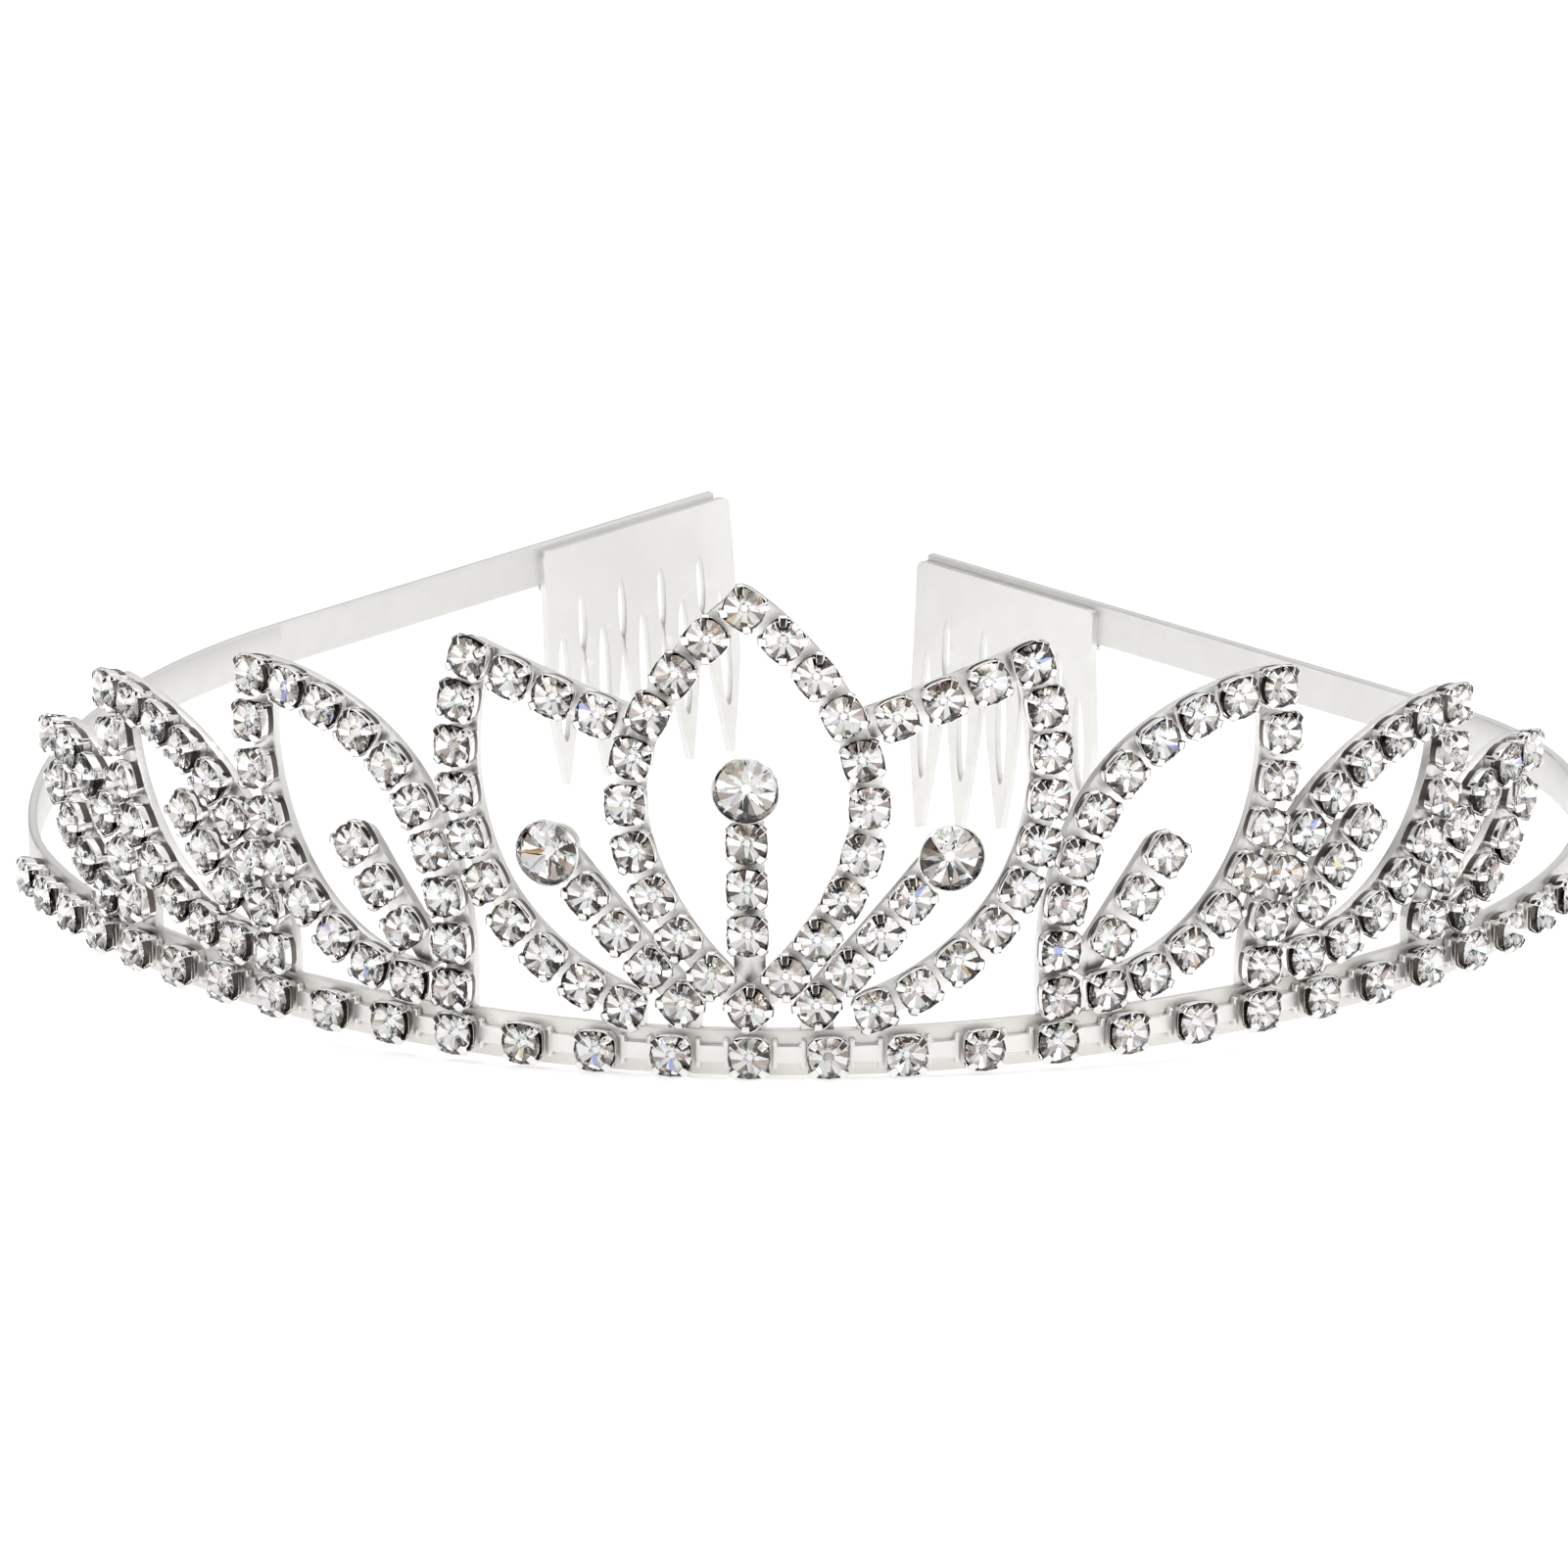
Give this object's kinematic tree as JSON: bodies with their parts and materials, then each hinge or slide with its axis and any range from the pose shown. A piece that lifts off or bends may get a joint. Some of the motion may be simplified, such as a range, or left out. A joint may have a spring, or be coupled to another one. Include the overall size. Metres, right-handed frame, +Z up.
{
  "type": "bridal tiara",
  "caption": "Silver-plated bridal tiara: open headband with crystal leaf petals rising in front and a small hair comb at each end.",
  "frame": {"origin": "middle of the footprint, on the surface that the tiara stands on", "axes": "+Z up, -Y towards the decorated front, +X to the wearer's left"},
  "size_m": [0.1396, 0.1538, 0.0418],
  "materials": {
    "satin_plating": "satin silver plating",
    "bright_plating": "bright silver plating",
    "solder": "plated solder",
    "crystal": "foil-backed cut glass"
  },
  "bodies": {
    "root": {"base_row_cups": "bright_plating", "base_row_links": "bright_plating", "base_row_stones": "crystal", "centre_large_setting": "bright_plating", "centre_large_stone": "crystal", "centre_petal_cups": "bright_plating", "centre_petal_frame": "bright_plating", "centre_petal_stones": "crystal", "centre_stem_cups": "bright_plating", "centre_stem_stones": "crystal", "centre_stem_strip": "bright_plating", "comb_left": "satin_plating", "comb_right": "satin_plating", "headband": "satin_plating", "large_setting_left": "bright_plating", "large_setting_right": "bright_plating", "large_stone_left": "crystal", "large_stone_right": "crystal", "petal_1_left_cups": "bright_plating", "petal_1_left_frame": "bright_plating", "petal_1_left_stones": "crystal", "petal_1_right_cups": "bright_plating", "petal_1_right_frame": "bright_plating", "petal_1_right_stones": "crystal", "petal_2_left_cups": "bright_plating", "petal_2_left_frame": "bright_plating", "petal_2_left_stones": "crystal", "petal_2_right_cups": "bright_plating", "petal_2_right_frame": "bright_plating", "petal_2_right_stones": "crystal", "petal_3_left_cups": "bright_plating", "petal_3_left_frame": "bright_plating", "petal_3_left_stones": "crystal", "petal_3_right_cups": "bright_plating", "petal_3_right_frame": "bright_plating", "petal_3_right_stones": "crystal", "petal_4_left_cups": "bright_plating", "petal_4_left_frame": "bright_plating", "petal_4_left_stones": "crystal", "petal_4_right_cups": "bright_plating", "petal_4_right_frame": "bright_plating", "petal_4_right_stones": "crystal", "side_stem_left_cups": "bright_plating", "side_stem_left_stones": "crystal", "side_stem_left_strip": "bright_plating", "side_stem_right_cups": "bright_plating", "side_stem_right_stones": "crystal", "side_stem_right_strip": "bright_plating", "solder_beads": "solder", "sprigs_left_cups": "bright_plating", "sprigs_left_stones": "crystal", "sprigs_left_strips": "bright_plating", "sprigs_right_cups": "bright_plating", "sprigs_right_stones": "crystal", "sprigs_right_strips": "bright_plating"}
  },
  "joints": []
}
